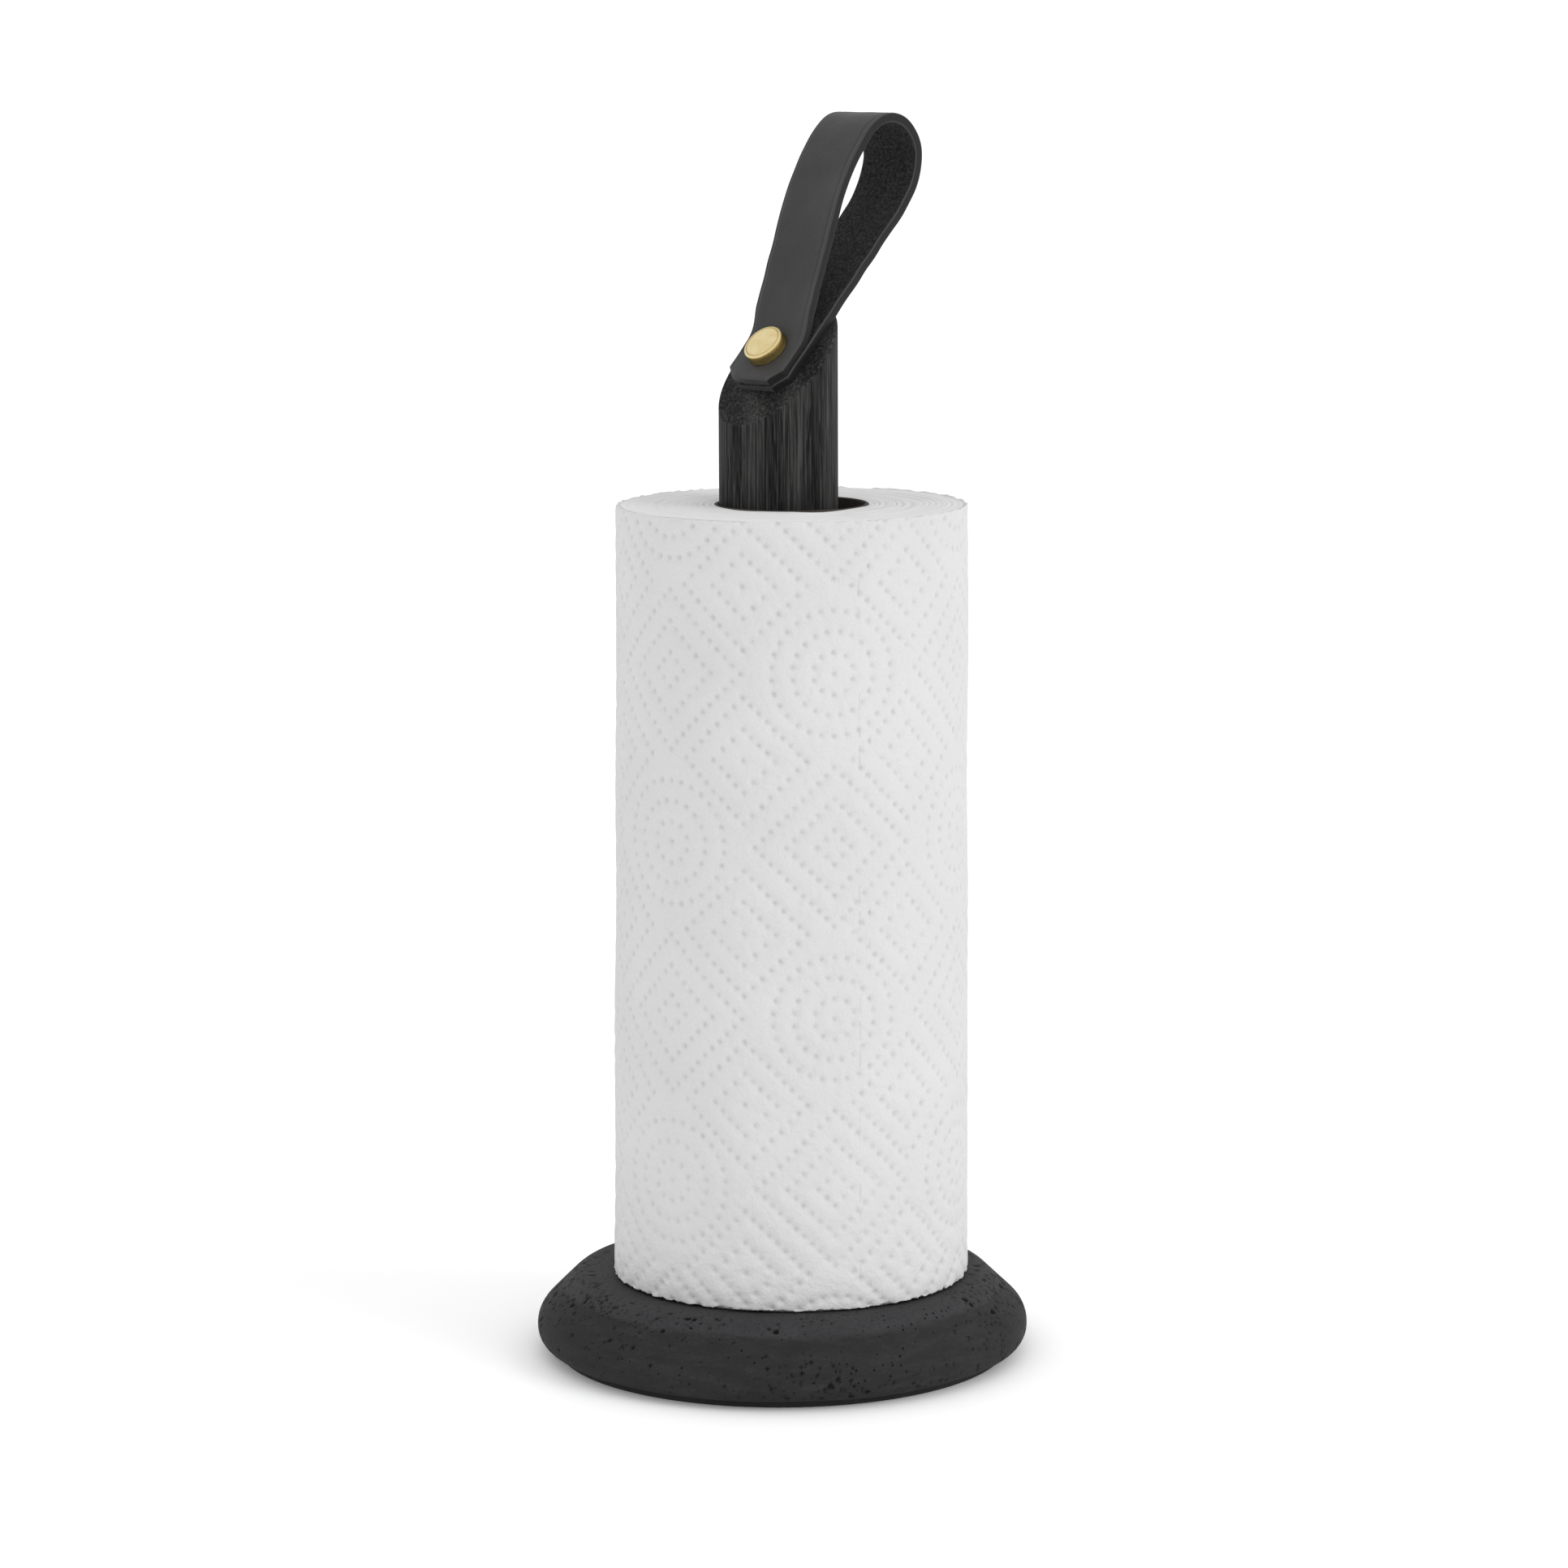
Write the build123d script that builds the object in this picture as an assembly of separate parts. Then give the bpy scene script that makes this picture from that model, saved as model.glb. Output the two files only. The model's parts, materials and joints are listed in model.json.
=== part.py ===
"""Countertop paper towel holder: concrete base, slant-cut oak post, leather carrying loop and one roll.

Frame: +Z up, origin in the middle of the underside of the foot pad. The slanted cut of the post faces -Y,
so the leather loop rises behind it, over +Y, with its width along X. Sizes are in millimetres.
"""
from build123d import *
from math import cos, radians, sin, tan
import os

# --- foot pad and cast base -------------------------------------------------------------------------
PAD_T = 2.0                 # anti-slip sheet under the base
PAD_INSET = 0.65            # from the rounded foot of the casting back to the edge of the sheet
BASE_H = 21.5               # height of the casting alone
BASE_R = 73.25              # at the widest line of the rim
RIM_Z = 6.3                 # height of the widest line above the casting's underside
RIM_UPPER_R = 8.0           # rounding between the rim and the slope
RIM_LOWER_R = 5.6           # rounding between the rim and the underside
SLOPE_DEG = 44.5            # slope of the bevel, from the horizontal
SHOULDER_R = 7.0            # soft edge between the bevel and the flat top
RECESS_DEPTH = 5.0          # socket in the top that the post stands in

# --- fixing under the base --------------------------------------------------------------------------
BOLT_R = 4.0                # M8 hexagon head bolt
BOLT_LEN = 30.0
HEAD_AF = 13.0              # across the flats of the hexagon
HEAD_H = 5.3
WASHER_R = 12.0
WASHER_T = 2.0
SPRING_R = 7.4              # split spring washer
SPRING_T = 2.0
SPRING_GAP = 1.5            # the split
COUNTERBORE_R = 14.0
COUNTERBORE_DEPTH = 10.5
INSERT_R = 6.0              # threaded insert in the foot of the post
INSERT_LEN = 20.0
INSERT_FLANGE_R = 8.5
INSERT_FLANGE_T = 1.5
INSERT_CHAMFER = 0.8

# --- post -------------------------------------------------------------------------------------------
POST_R = 17.4
CUT_DEG = 45.0              # slope of the cut face
CUT_ABOVE_ROLL = 41.0       # middle of the cut face above the top of the roll
CUT_EDGE_R = 1.6            # sanded edge round the cut
POST_FOOT_CHAMFER = 1.0
BOLT_TIP_ROOM = 4.0         # free hole beyond the insert

# --- leather loop -----------------------------------------------------------------------------------
STRAP_W = 22.0
STRAP_T = 2.8
STRAP_END = 11.2            # from the stud to both cut ends, down the slope
CORNER_CLIP = 4.0
LAYER_GAP = 0.1             # between the two stacked ends
BACK_RUN = 64.0             # straight back strand: up the slope from the stud to its first corner
LOOP_CORNERS = (            # corners that the loop's centreline rounds: up the slope, and out from the cut
    (73.0, 4.5),
    (84.1, 15.5),
    (71.8, 27.7),
    (53.5, 26.6),
)
FRONT_LIFT = 4.7            # from the rim of the stud to the corner where the front strand lifts
BEND_RADII = (28.0, 19.0, 11.6, 11.4, 55.0, 24.0)

# --- brass stud -------------------------------------------------------------------------------------
STUD_R = 6.3
STUD_HEAD_T = 3.4
STUD_EDGE = 0.5             # bevelled rim
COLLAR_R = 3.2              # sleeve of the stud, through both layers
STUD_THREAD_R = 2.0
STUD_THREAD_IN_HEAD = 1.6
SCREW_R = 2.3               # wood thread of the hanger screw
SCREW_DEPTH = 20.0
SCREW_TIP = 3.0

# --- paper roll -------------------------------------------------------------------------------------
ROLL_H = 230.0
ROLL_R = 51.6
CORE_BORE_R = 21.5
CORE_WALL = 1.1
ROLL_LEAN_DEG = 45.0        # side to which the loose roll has slid against the post
ROLL_EDGE_R = 0.8

# --- fits -------------------------------------------------------------------------------------------
RUNNING = 0.05              # radial, paper on core and leather on the stud's sleeve
SEAT = 0.15                 # radial, post in its socket
LOOSE = 0.5                 # radial, bolt through the casting and its washers
THREAD = 0.05               # radial, modelled between plain threads
SIDE_GAP = 0.3              # core to post where the roll leans on it
REST_GAP = 0.05             # between faces that rest on each other and move

# --- places worked out from the sizes above ---------------------------------------------------------
PAD_R = BASE_R - RIM_LOWER_R - PAD_INSET
BASE_TOP = PAD_T + BASE_H
POST_FOOT = BASE_TOP - RECESS_DEPTH
BORE_TOP = PAD_T + COUNTERBORE_DEPTH
ROLL_BOTTOM = BASE_TOP + REST_GAP
FACE_Z = ROLL_BOTTOM + ROLL_H + CUT_ABOVE_ROLL
CORE_R = CORE_BORE_R + CORE_WALL
LEAN = CORE_BORE_R - POST_R - SIDE_GAP
ROLL_X = LEAN * cos(radians(ROLL_LEAN_DEG))
ROLL_Y = LEAN * sin(radians(ROLL_LEAN_DEG))
CUT_UP = Vector(0, cos(radians(CUT_DEG)), sin(radians(CUT_DEG)))
CUT_OUT = Vector(0, -sin(radians(CUT_DEG)), cos(radians(CUT_DEG)))
CUT_PLANE = Plane(origin=(0, 0, FACE_Z), x_dir=(1, 0, 0), z_dir=CUT_OUT)
STACK_T = REST_GAP + STRAP_T + LAYER_GAP + STRAP_T + REST_GAP


def disc(radius, bottom, height, x=0.0, y=0.0):
    """Upright cylinder with its lower face at the given height."""
    return Pos(x, y, bottom) * Cylinder(radius, height, align=(Align.CENTER, Align.CENTER, Align.MIN))


def on_cut(radius, start, length):
    """Cylinder square to the cut face, starting at a distance in front of it."""
    place = CUT_PLANE * Pos(0, 0, start)
    return place * Cylinder(radius, length, align=(Align.CENTER, Align.CENTER, Align.MIN))


def make_base_pad():
    """Round anti-slip sheet, glued under the casting."""
    return disc(PAD_R, 0, PAD_T)


def make_base():
    """Cast disc: rounded rim, bevel up to a flat top, socket for the post, counterbore from below."""
    slope = radians(SLOPE_DEG)
    rim_centre = BASE_R - RIM_UPPER_R
    slope_r = rim_centre + RIM_UPPER_R * sin(slope)
    slope_z = PAD_T + RIM_Z + RIM_UPPER_R * cos(slope)
    top_r = slope_r - (BASE_TOP - slope_z) / tan(slope)
    # The shoulder's arc touches the bevel and the flat top, at the same distance from their corner.
    run = SHOULDER_R * tan(slope / 2)
    bevel_end = (top_r + run * cos(slope), BASE_TOP - run * sin(slope))
    mid = slope / 2
    shoulder_mid = (top_r - run + SHOULDER_R * sin(mid), BASE_TOP - SHOULDER_R * (1 - cos(mid)))
    lean = radians(90 - SLOPE_DEG) / 2
    rim_mid = (rim_centre + RIM_UPPER_R * cos(lean), PAD_T + RIM_Z + RIM_UPPER_R * sin(lean))
    foot_centre = (BASE_R - RIM_LOWER_R, PAD_T + RIM_LOWER_R)
    foot_mid = (foot_centre[0] + RIM_LOWER_R * cos(radians(45)), foot_centre[1] - RIM_LOWER_R * sin(radians(45)))
    with BuildPart() as casting:
        with BuildSketch(Plane.XZ):
            with BuildLine():
                Polyline((0, BASE_TOP), (0, PAD_T), (foot_centre[0], PAD_T))
                ThreePointArc((foot_centre[0], PAD_T), foot_mid, (BASE_R, foot_centre[1]))
                Line((BASE_R, foot_centre[1]), (BASE_R, PAD_T + RIM_Z))
                ThreePointArc((BASE_R, PAD_T + RIM_Z), rim_mid, (slope_r, slope_z))
                Line((slope_r, slope_z), bevel_end)
                ThreePointArc(bevel_end, shoulder_mid, (top_r - run, BASE_TOP))
                Line((top_r - run, BASE_TOP), (0, BASE_TOP))
            make_face()
        revolve(axis=Axis.Z)
    body = casting.part - disc(POST_R + SEAT, POST_FOOT, RECESS_DEPTH)
    body -= disc(COUNTERBORE_R, PAD_T, COUNTERBORE_DEPTH)
    body -= disc(BOLT_R + LOOSE, PAD_T, BASE_H)
    return body


def make_washer():
    """Wide flat washer against the roof of the counterbore."""
    return disc(WASHER_R, BORE_TOP - WASHER_T, WASHER_T) - disc(BOLT_R + LOOSE, BORE_TOP - WASHER_T, WASHER_T)


def make_spring_washer():
    """Split spring washer, pressed flat between the bolt head and the flat washer."""
    bottom = BORE_TOP - WASHER_T - SPRING_T
    ring = disc(SPRING_R, bottom, SPRING_T) - disc(BOLT_R + LOOSE / 2, bottom, SPRING_T)
    split = Pos(SPRING_R, 0, bottom + SPRING_T / 2) * Box(2 * SPRING_R, SPRING_GAP, 2 * SPRING_T)
    return ring - split


def make_bolt():
    """Hexagon head bolt, up through the casting into the post."""
    seat = BORE_TOP - WASHER_T - SPRING_T
    head = extrude(RegularPolygon(HEAD_AF / 2, 6, major_radius=False), HEAD_H)
    return Pos(0, 0, seat - HEAD_H) * head + disc(BOLT_R, seat, BOLT_LEN)


def make_insert():
    """Flanged threaded insert, screwed into the foot of the post."""
    body = disc(INSERT_R, POST_FOOT, INSERT_LEN)
    body = chamfer(body.edges().sort_by(Axis.Z)[-1], INSERT_CHAMFER)
    body += disc(INSERT_FLANGE_R, POST_FOOT, INSERT_FLANGE_T)
    return body - disc(BOLT_R + THREAD, POST_FOOT, INSERT_LEN)


def make_post():
    """Oak dowel, cut on the slant, with the insert's hole below and the stud's pilot hole in the cut."""
    top = FACE_Z + POST_R * tan(radians(CUT_DEG))
    dowel = disc(POST_R, POST_FOOT, top - POST_FOOT + 1)
    dowel = chamfer(dowel.edges().sort_by(Axis.Z)[0], POST_FOOT_CHAMFER)
    waste = CUT_PLANE * Box(4 * POST_R, 4 * POST_R, 4 * POST_R, align=(Align.CENTER, Align.CENTER, Align.MIN))
    dowel -= waste
    rim = dowel.edges().sort_by(Axis.Z)[-1]
    dowel = fillet(rim, CUT_EDGE_R)
    dowel -= disc(INSERT_R + THREAD, POST_FOOT, INSERT_LEN)
    dowel -= disc(INSERT_FLANGE_R + THREAD, POST_FOOT, INSERT_FLANGE_T)
    bolt_tip = BORE_TOP - WASHER_T - SPRING_T + BOLT_LEN
    dowel -= disc(BOLT_R + LOOSE, POST_FOOT, bolt_tip + BOLT_TIP_ROOM - POST_FOOT)
    return dowel - on_cut(SCREW_R + THREAD, -SCREW_DEPTH - SCREW_TIP, SCREW_DEPTH + SCREW_TIP)


def slope_point(along, out):
    """Point in the middle plane of the loop: up the slope from the stud, and out from the cut face."""
    point = Vector(0, 0, FACE_Z) + CUT_UP * along + CUT_OUT * out
    return (0, point.Y, point.Z)


def loop_path():
    """Centreline of the strap: up the cut face, round the loop, and back down on top of its first end."""
    lower = REST_GAP + STRAP_T / 2
    upper = lower + STRAP_T + LAYER_GAP
    up_the_back = [(-STRAP_END, lower), (BACK_RUN, lower)]
    down_the_front = [(STUD_R + FRONT_LIFT, upper), (-STRAP_END, upper)]
    corners = [slope_point(*corner) for corner in (*up_the_back, *LOOP_CORNERS, *down_the_front)]
    return FilletPolyline(*corners, radius=BEND_RADII)


def make_strap():
    """One leather strap, both ends stacked on the cut face, corners clipped, one hole for the stud."""
    path = loop_path()
    start = Plane(origin=path @ 0, x_dir=(1, 0, 0), z_dir=path % 0)
    strap = sweep(start * Rectangle(STRAP_W, STRAP_T), path)
    for side in (-1, 1):
        corner = (side * STRAP_W / 2, -STRAP_END)
        clip = Polygon(
            corner,
            (corner[0] - side * CORNER_CLIP, corner[1]),
            (corner[0], corner[1] + CORNER_CLIP),
            align=None,
        )
        strap -= CUT_PLANE * extrude(clip, 2 * STACK_T, both=True)
    return strap - on_cut(COLLAR_R + RUNNING, -STACK_T, 3 * STACK_T)


def make_stud_cap():
    """Brass button with a bevelled rim, and a sleeve down to the wood with a blind threaded hole."""
    head = on_cut(STUD_R, STACK_T, STUD_HEAD_T)
    top_rim = head.edges().filter_by(GeomType.CIRCLE).sort_by(Axis((0, 0, 0), CUT_OUT))[-1]
    head = chamfer(top_rim, STUD_EDGE)
    head += on_cut(COLLAR_R, 0, STACK_T)
    return head - on_cut(STUD_THREAD_R + THREAD, 0, STACK_T + STUD_THREAD_IN_HEAD)


def make_stud_screw():
    """Hanger screw: wood thread in the post, machine thread in the stud."""
    thread = on_cut(STUD_THREAD_R, 0, STACK_T + STUD_THREAD_IN_HEAD)
    shank = on_cut(SCREW_R, -SCREW_DEPTH, SCREW_DEPTH)
    tip = CUT_PLANE * Pos(0, 0, -SCREW_DEPTH) * Rot(180, 0, 0) * Cone(
        SCREW_R, SCREW_R / 4, SCREW_TIP, align=(Align.CENTER, Align.CENTER, Align.MIN)
    )
    return thread + shank + tip


def make_core():
    """Cardboard tube of the roll."""
    tube = disc(CORE_R, ROLL_BOTTOM, ROLL_H, ROLL_X, ROLL_Y)
    return tube - disc(CORE_BORE_R, ROLL_BOTTOM, ROLL_H, ROLL_X, ROLL_Y)


def make_paper():
    """Paper wound on the core, its outer edges a little rounded."""
    wound = disc(ROLL_R, ROLL_BOTTOM, ROLL_H, ROLL_X, ROLL_Y)
    wound = fillet(wound.edges().filter_by(GeomType.CIRCLE), ROLL_EDGE_R)
    return wound - disc(CORE_R + RUNNING, ROLL_BOTTOM, ROLL_H, ROLL_X, ROLL_Y)


PIECES = {
    "base_pad": make_base_pad,
    "base": make_base,
    "base_washer": make_washer,
    "spring_washer": make_spring_washer,
    "base_bolt": make_bolt,
    "post_insert": make_insert,
    "post": make_post,
    "strap": make_strap,
    "stud_cap": make_stud_cap,
    "stud_screw": make_stud_screw,
    "core": make_core,
    "paper": make_paper,
}

os.makedirs("parts", exist_ok=True)
for name, make in PIECES.items():
    export_step(make(), f"parts/{name}.step")
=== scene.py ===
# %% [markdown]
# A paper towel holder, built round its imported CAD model. The frame gives every size and place in metres.
# This lesson replaces the plain solids by worked-out surfaces, and gives each the finish of the real thing.

# %% Load the frame
import json
from functools import partial
from math import cos, radians, sin, tan
import bpy
import numpy as np
from mathutils import Matrix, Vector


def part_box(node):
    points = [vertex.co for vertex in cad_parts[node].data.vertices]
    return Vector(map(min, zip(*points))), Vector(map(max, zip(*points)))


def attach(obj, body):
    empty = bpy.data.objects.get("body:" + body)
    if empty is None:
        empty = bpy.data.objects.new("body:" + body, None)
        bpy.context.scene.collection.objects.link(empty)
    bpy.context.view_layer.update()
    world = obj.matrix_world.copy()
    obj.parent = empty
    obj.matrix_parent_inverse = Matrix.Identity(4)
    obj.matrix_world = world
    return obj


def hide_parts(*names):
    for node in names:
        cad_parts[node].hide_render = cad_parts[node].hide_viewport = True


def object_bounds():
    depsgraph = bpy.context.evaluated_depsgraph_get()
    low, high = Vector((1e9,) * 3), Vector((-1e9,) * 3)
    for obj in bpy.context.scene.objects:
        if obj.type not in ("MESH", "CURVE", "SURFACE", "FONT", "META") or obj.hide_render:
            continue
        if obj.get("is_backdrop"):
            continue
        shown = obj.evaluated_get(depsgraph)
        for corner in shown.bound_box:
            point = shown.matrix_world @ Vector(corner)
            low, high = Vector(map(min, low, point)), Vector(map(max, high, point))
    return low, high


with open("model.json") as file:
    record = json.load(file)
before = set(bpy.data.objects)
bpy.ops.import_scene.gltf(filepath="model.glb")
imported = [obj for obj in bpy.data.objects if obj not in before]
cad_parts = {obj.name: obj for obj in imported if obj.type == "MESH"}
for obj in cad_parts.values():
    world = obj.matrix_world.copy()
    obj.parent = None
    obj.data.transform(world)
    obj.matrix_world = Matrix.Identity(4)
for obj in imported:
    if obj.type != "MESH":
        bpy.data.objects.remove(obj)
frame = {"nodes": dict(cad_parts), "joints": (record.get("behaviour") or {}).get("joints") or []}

MM = 0.001
TURN = 2 * np.pi


def new_object(name, data):
    """New object of the scene, with its mesh, camera or lamp."""
    thing = bpy.data.objects.new(name, data)
    bpy.context.scene.collection.objects.link(thing)
    return thing


cad_low, cad_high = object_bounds()
print("CAD box, mm:", [round(side / MM, 1) for side in cad_high - cad_low])

# %% [markdown]
# The sizes that the surfaces share come from the frame, so a change in the CAD carries over. The loop's
# swivel joint says where the slanted cut of the post lies and which way it faces.

# %% Read the sizes
base_low, base_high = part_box("base")
paper_low, paper_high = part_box("paper")
core_low, core_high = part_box("core")
post_low, post_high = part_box("post")
strap_low, strap_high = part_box("strap")
swivel = next(joint for joint in frame["joints"] if joint["name"] == "loop_swivel")
cut_centre = np.array(swivel["pos_m"])
cut_out = np.array(swivel["axis"]) / np.linalg.norm(swivel["axis"])
cut_up = np.array([0.0, cut_out[2], -cut_out[1]])
cut_side = np.array([1.0, 0.0, 0.0])

base_r = (base_high.x - base_low.x) / 2
post_r = (post_high.x - post_low.x) / 2
roll_x, roll_y = (paper_low.x + paper_high.x) / 2, (paper_low.y + paper_high.y) / 2
roll_r = (paper_high.x - paper_low.x) / 2
core_r = (core_high.x - core_low.x) / 2
print("base, post and roll radius, mm:", [round(r / MM, 2) for r in (base_r, post_r, roll_r)])

# %% [markdown]
# The camera stands well back with a long lens, a little above the roll, an eighth of the way round, so
# that the stud and the side of the loop both show.

# %% Camera
VIEW_TURN = radians(45)             # round the post, from the front of the cut
VIEW_DISTANCE = 1450 * MM
VIEW_HEIGHT = 404 * MM
VIEW_PITCH = radians(9.15)          # down
VIEW_ASIDE = 1.2 * MM               # the holder stands a hair left of the picture's middle
VIEW_ROLL = radians(0.25)           # the camera isn't quite level
LENS = 114.4

camera = new_object("camera", bpy.data.cameras.new("camera"))
camera.data.lens = LENS
camera.data.sensor_width = 36
camera.data.clip_start = 0.05
camera.data.clip_end = 200
camera.location = (
    sin(VIEW_TURN) * VIEW_DISTANCE + cos(VIEW_TURN) * VIEW_ASIDE,
    -cos(VIEW_TURN) * VIEW_DISTANCE + sin(VIEW_TURN) * VIEW_ASIDE,
    VIEW_HEIGHT,
)
level = Matrix.Rotation(VIEW_TURN, 3, "Z") @ Matrix.Rotation(radians(90) - VIEW_PITCH, 3, "X")
camera.rotation_euler = (level @ Matrix.Rotation(-VIEW_ROLL, 3, "Z")).to_euler()
bpy.context.scene.camera = camera
bpy.context.scene.view_settings.view_transform = "Standard"
print("camera at, mm:", [round(c / MM) for c in camera.location])

# %% [markdown]
# Every new piece is a grid of points: a face is the square between two rows and two columns. Rows or
# columns can close into a ring, and an open end can be closed by a fan to one middle point. The UV map
# gives each column and row its place in millimetres on the flattened surface.

# %% Grid to mesh
def grid_faces(rows, columns, ring_rows, ring_columns):
    """Corner numbers of the squares of a grid, shape (faces, 4), and each corner's row and column step."""
    last_row = rows if ring_rows else rows - 1
    last_column = columns if ring_columns else columns - 1
    row, column = np.meshgrid(np.arange(last_row), np.arange(last_column), indexing="ij")
    row_steps = row.reshape(-1, 1) + np.array([0, 0, 1, 1])
    column_steps = column.reshape(-1, 1) + np.array([0, 1, 1, 0])
    return (row_steps % rows) * columns + column_steps % columns, row_steps, column_steps


def surface(name, points, ring_rows=False, ring_columns=False, fans=(), across=None, along=None, sharp=40):
    """Smooth mesh object from a grid of points of shape (rows, columns, 3), in metres.

    fans names the ends, "first" or "last", that are closed to the mean of that row. across and along are the
    UV places of the columns and the rows, one longer than the grid where it closes on itself. Edges that
    turn by more than sharp degrees are shaded as sharp. Faces whose enclosed volume comes out negative are
    turned round, so that all face outwards."""
    rows, columns = points.shape[:2]
    quads, row_steps, column_steps = grid_faces(rows, columns, ring_rows, ring_columns)
    a, b, c, d = np.moveaxis((points - points.mean((0, 1))).reshape(-1, 3)[quads], 1, 0)
    volume = (a * (np.cross(b, c) + np.cross(c, d))).sum() / 6
    if volume < 0:
        quads, row_steps, column_steps = quads[:, ::-1], row_steps[:, ::-1], column_steps[:, ::-1]
    across = np.arange(columns + 1.0) if across is None else np.asarray(across, float)
    along = np.arange(rows + 1.0) if along is None else np.asarray(along, float)
    corners = [quads.ravel()]
    sizes = [np.full(len(quads), 4)]
    uvs = [np.stack([across[column_steps.ravel()], along[row_steps.ravel()]], 1)]
    vertices = [points.reshape(-1, 3)]
    for number, end in enumerate(fans):
        row = 0 if end == "first" else rows - 1
        ring = np.arange(columns) + row * columns
        following = np.roll(ring, -1)
        middle = np.full(columns, rows * columns + number)
        order = (following, ring, middle) if (end == "first") == (volume > 0) else (ring, following, middle)
        corners.append(np.stack(order, 1).ravel())
        sizes.append(np.full(columns, 3))
        uvs.append(np.repeat([[0.0, along[row]]], 3 * columns, axis=0))
        vertices.append(points[row].mean(axis=0, keepdims=True))
    vertices, corners, sizes = np.concatenate(vertices), np.concatenate(corners), np.concatenate(sizes)
    mesh = bpy.data.meshes.new(name)
    mesh.vertices.add(len(vertices))
    mesh.vertices.foreach_set("co", vertices.astype(np.float32).ravel())
    mesh.loops.add(len(corners))
    mesh.loops.foreach_set("vertex_index", corners.astype(np.int32))
    mesh.polygons.add(len(sizes))
    starts = np.concatenate([[0], np.cumsum(sizes)[:-1]])
    mesh.polygons.foreach_set("loop_start", starts.astype(np.int32))
    mesh.polygons.foreach_set("use_smooth", np.ones(len(sizes), bool))
    mesh.update(calc_edges=True)
    mesh.set_sharp_from_angle(angle=radians(sharp))
    mesh.uv_layers.new(name="flat").data.foreach_set("uv", np.concatenate(uvs).astype(np.float32).ravel())
    triangles = int((sizes - 2).sum())
    print(f"{name}: {len(vertices)} points, {triangles} triangles, {abs(volume) * 1e6:.2f} cm3")
    return new_object(name, mesh)


def place(piece, body, slot, material, *nodes):
    """Finishes a piece: the body it rides on, its material, and the CAD nodes it stands for. The slot is not
    used.
    """
    piece.data.materials.append(material)
    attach(piece, body)
    if nodes:
        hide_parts(*nodes)


# %% [markdown]
# Real surfaces are never exact. Two helpers bring in their unevenness: a smooth random field of a few
# waves, and a soft step. Each call has its own seed, so every run gives the same holder.

# %% Unevenness
def ripple(seed, size, *places, waves=12):
    """Random smooth field between about -1 and 1 over the given coordinates: a sum of sine waves of
    random direction, each about one given size long."""
    random = np.random.default_rng(seed)
    total = np.zeros(np.broadcast(*places).shape)
    for _ in range(waves):
        direction = random.normal(size=len(places))
        direction *= TURN / (size * random.uniform(0.7, 1.6) * np.linalg.norm(direction))
        phase = random.uniform(0, TURN)
        total += np.sin(sum(d * p for d, p in zip(direction, places)) + phase)
    return total * (2 / waves) ** 0.5


def soft_step(value, start, end):
    """0 up to start, 1 after end, and a smooth S between."""
    t = np.clip((value - start) / (end - start), 0, 1)
    return t * t * (3 - 2 * t)


# %% [markdown]
# A finish is a small tree of nodes. One helper adds a node, sets its sockets or properties by name and
# links its inputs. Colours are hex values, turned into the linear light that the renderer adds up, and
# pattern sizes are millimetres.

# %% Materials: helpers
SMOOTH = {"interpolation_type": "SMOOTHSTEP"}
COLOURS = {"data_type": "RGBA"}


def linear(hexcode):
    """Linear RGBA of an sRGB hex colour."""
    channels = np.array([int(hexcode[i:i + 2], 16) for i in (1, 3, 5)]) / 255
    light = np.where(channels <= 0.04045, channels / 12.92, ((channels + 0.055) / 1.055) ** 2.4)
    return (*light.tolist(), 1.0)


def per_mm(size):
    """Texture scale at which one cell of a pattern is that many millimetres."""
    return 1 / (size * MM)


def fill(node, *feeds, **settings):
    """Fills a node: settings are its properties, or input sockets by name with _ for a space, and feeds go
    to its visible input sockets in their order. A feed is a constant, a hex colour, a node (its first
    output is linked) or (node, output name). stops are the (place, hex colour) of a colour ramp."""
    for place_of_stop, stop in enumerate(settings.pop("stops", ())):
        elements = node.color_ramp.elements
        element = elements[place_of_stop] if place_of_stop < len(elements) else elements.new(1.0)
        element.position, element.color = stop[0], linear(stop[1])
    for key in [key for key in settings if key in node.bl_rna.properties]:
        setattr(node, key, settings.pop(key))
    sockets = [socket for socket in node.inputs if socket.enabled]
    named = {socket.name.replace(" ", "_"): socket for socket in reversed(sockets)}
    for socket, feed in [*zip(sockets, feeds), *((named[key], settings[key]) for key in settings)]:
        if isinstance(feed, str):
            socket.default_value = linear(feed)
            continue
        source, output = feed if isinstance(feed, tuple) and isinstance(feed[1], str) else (feed, None)
        if isinstance(source, bpy.types.Node):
            outputs = [o for o in source.outputs if o.enabled and output in (None, o.name)]
            node.id_data.links.new(outputs[0], socket)
        else:
            socket.default_value = feed
    return node


def add(tree, kind, *feeds, **settings):
    """Adds a node of a kind to a tree, and fills it."""
    return fill(tree.nodes.new("ShaderNode" + kind), *feeds, **settings)


def off(node, value, place_there):
    """How far a value is from a place, as nodes: the size of their difference."""
    return node("Math", node("Math", value, place_there, operation="SUBTRACT"), operation="ABSOLUTE")


def new_material(name, **settings):
    """Material, the add that puts nodes in its tree, its Principled shader filled with the settings, and
    its object coordinates."""
    material = bpy.data.materials.new(name)
    material.use_nodes = True
    node = partial(add, material.node_tree)
    shader = fill(material.node_tree.nodes["Principled BSDF"], **settings)
    return material, node, shader, (node("TexCoord"), "Object")


print("ripple over a metre of samples:", round(float(np.std(ripple(1, 0.05, np.linspace(0, 1, 500)))), 2))


# %% [markdown]
# The floor is one plain sheet, so large that its edge is never seen: a light table of white acrylic, lit a
# little from below, which keeps shadows faint. A white world lights evenly, as a light tent does, and looks
# a little brighter straight into the camera. One sun lamp with a wide disc stands for a large soft box on
# the right: it gives the dots of the paper their small shadows.

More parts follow.
